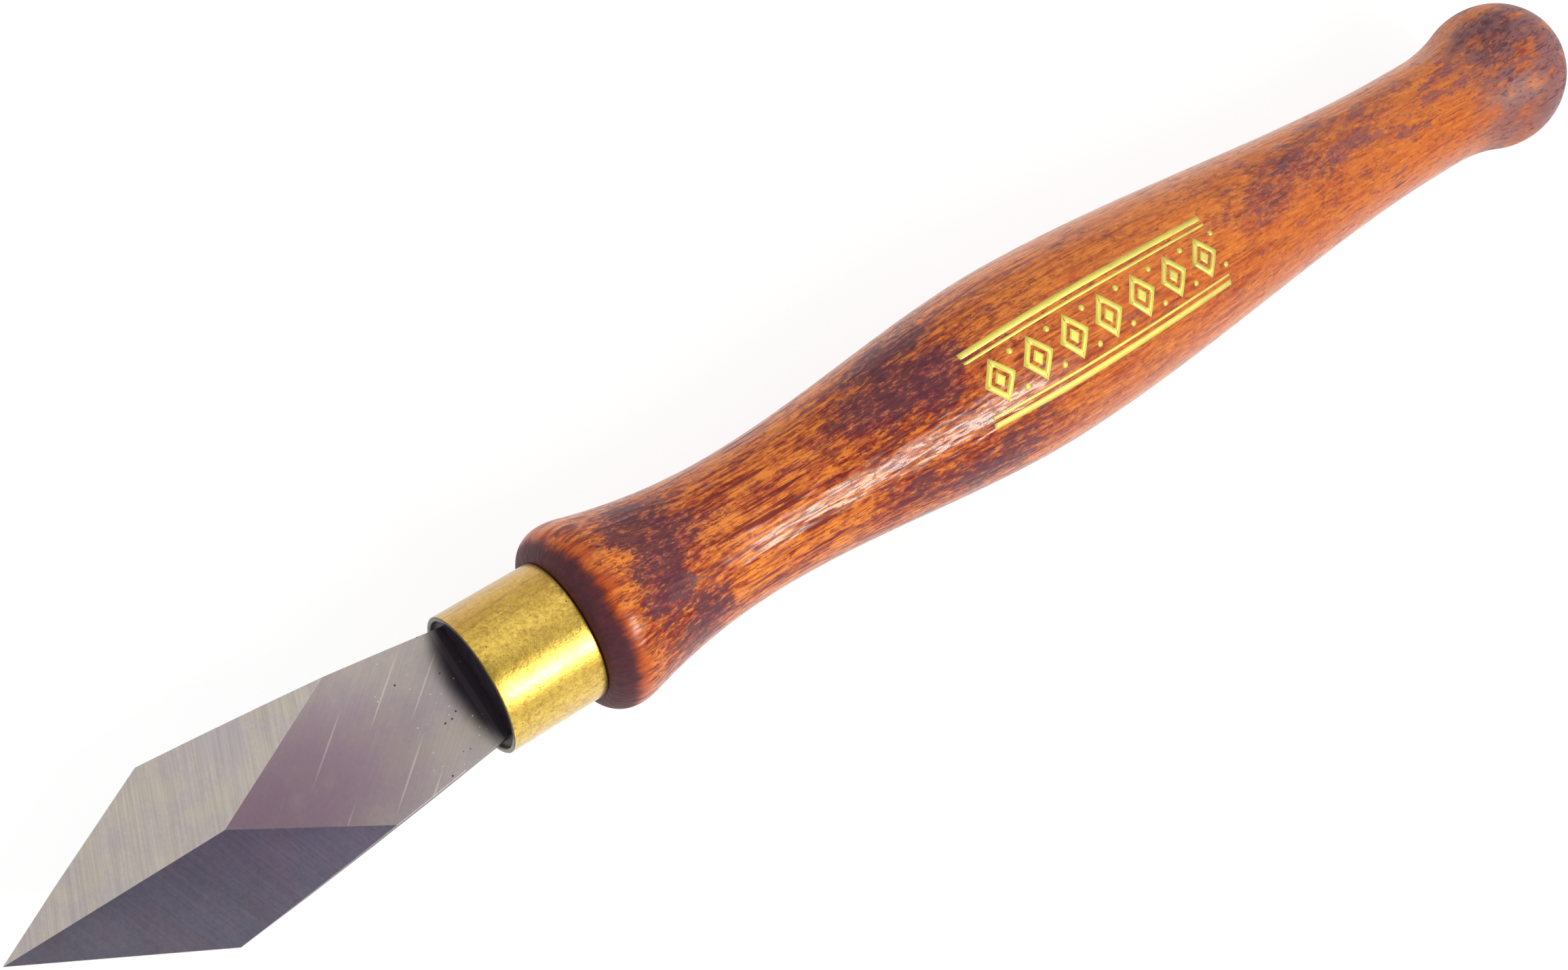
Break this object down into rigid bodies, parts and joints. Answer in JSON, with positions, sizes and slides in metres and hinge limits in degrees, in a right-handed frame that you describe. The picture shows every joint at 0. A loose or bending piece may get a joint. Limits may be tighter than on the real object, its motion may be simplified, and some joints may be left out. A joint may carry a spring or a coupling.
{
  "type": "marking knife",
  "caption": "Spear-point marking knife: bevelled steel blade with a flat back, brass ferrule and turned wooden handle with a ball end.",
  "frame": {"origin": "below the middle of the knife's length, on its long axis in plan, level with the lowest point of the handle's belly", "axes": "+X from the blade's point to the ball end along the handle's axis, +Z out of the bevelled upper face of the blade, +Y across the blade"},
  "size_m": [0.212, 0.0218, 0.0219],
  "materials": {
    "blade_steel": "ground tool steel with fine grinding lines, darker unground root",
    "ferrule_brass": "worn satin brass, lightly pitted",
    "handle_wood": "beech stained red-brown under gloss lacquer, dark flecks along the grain",
    "bedding_resin": "dark resin, slightly glossy"
  },
  "bodies": {
    "root": {"blade": "blade_steel", "ferrule": "ferrule_brass", "handle": "handle_wood", "tang_bedding": "bedding_resin"}
  },
  "joints": []
}
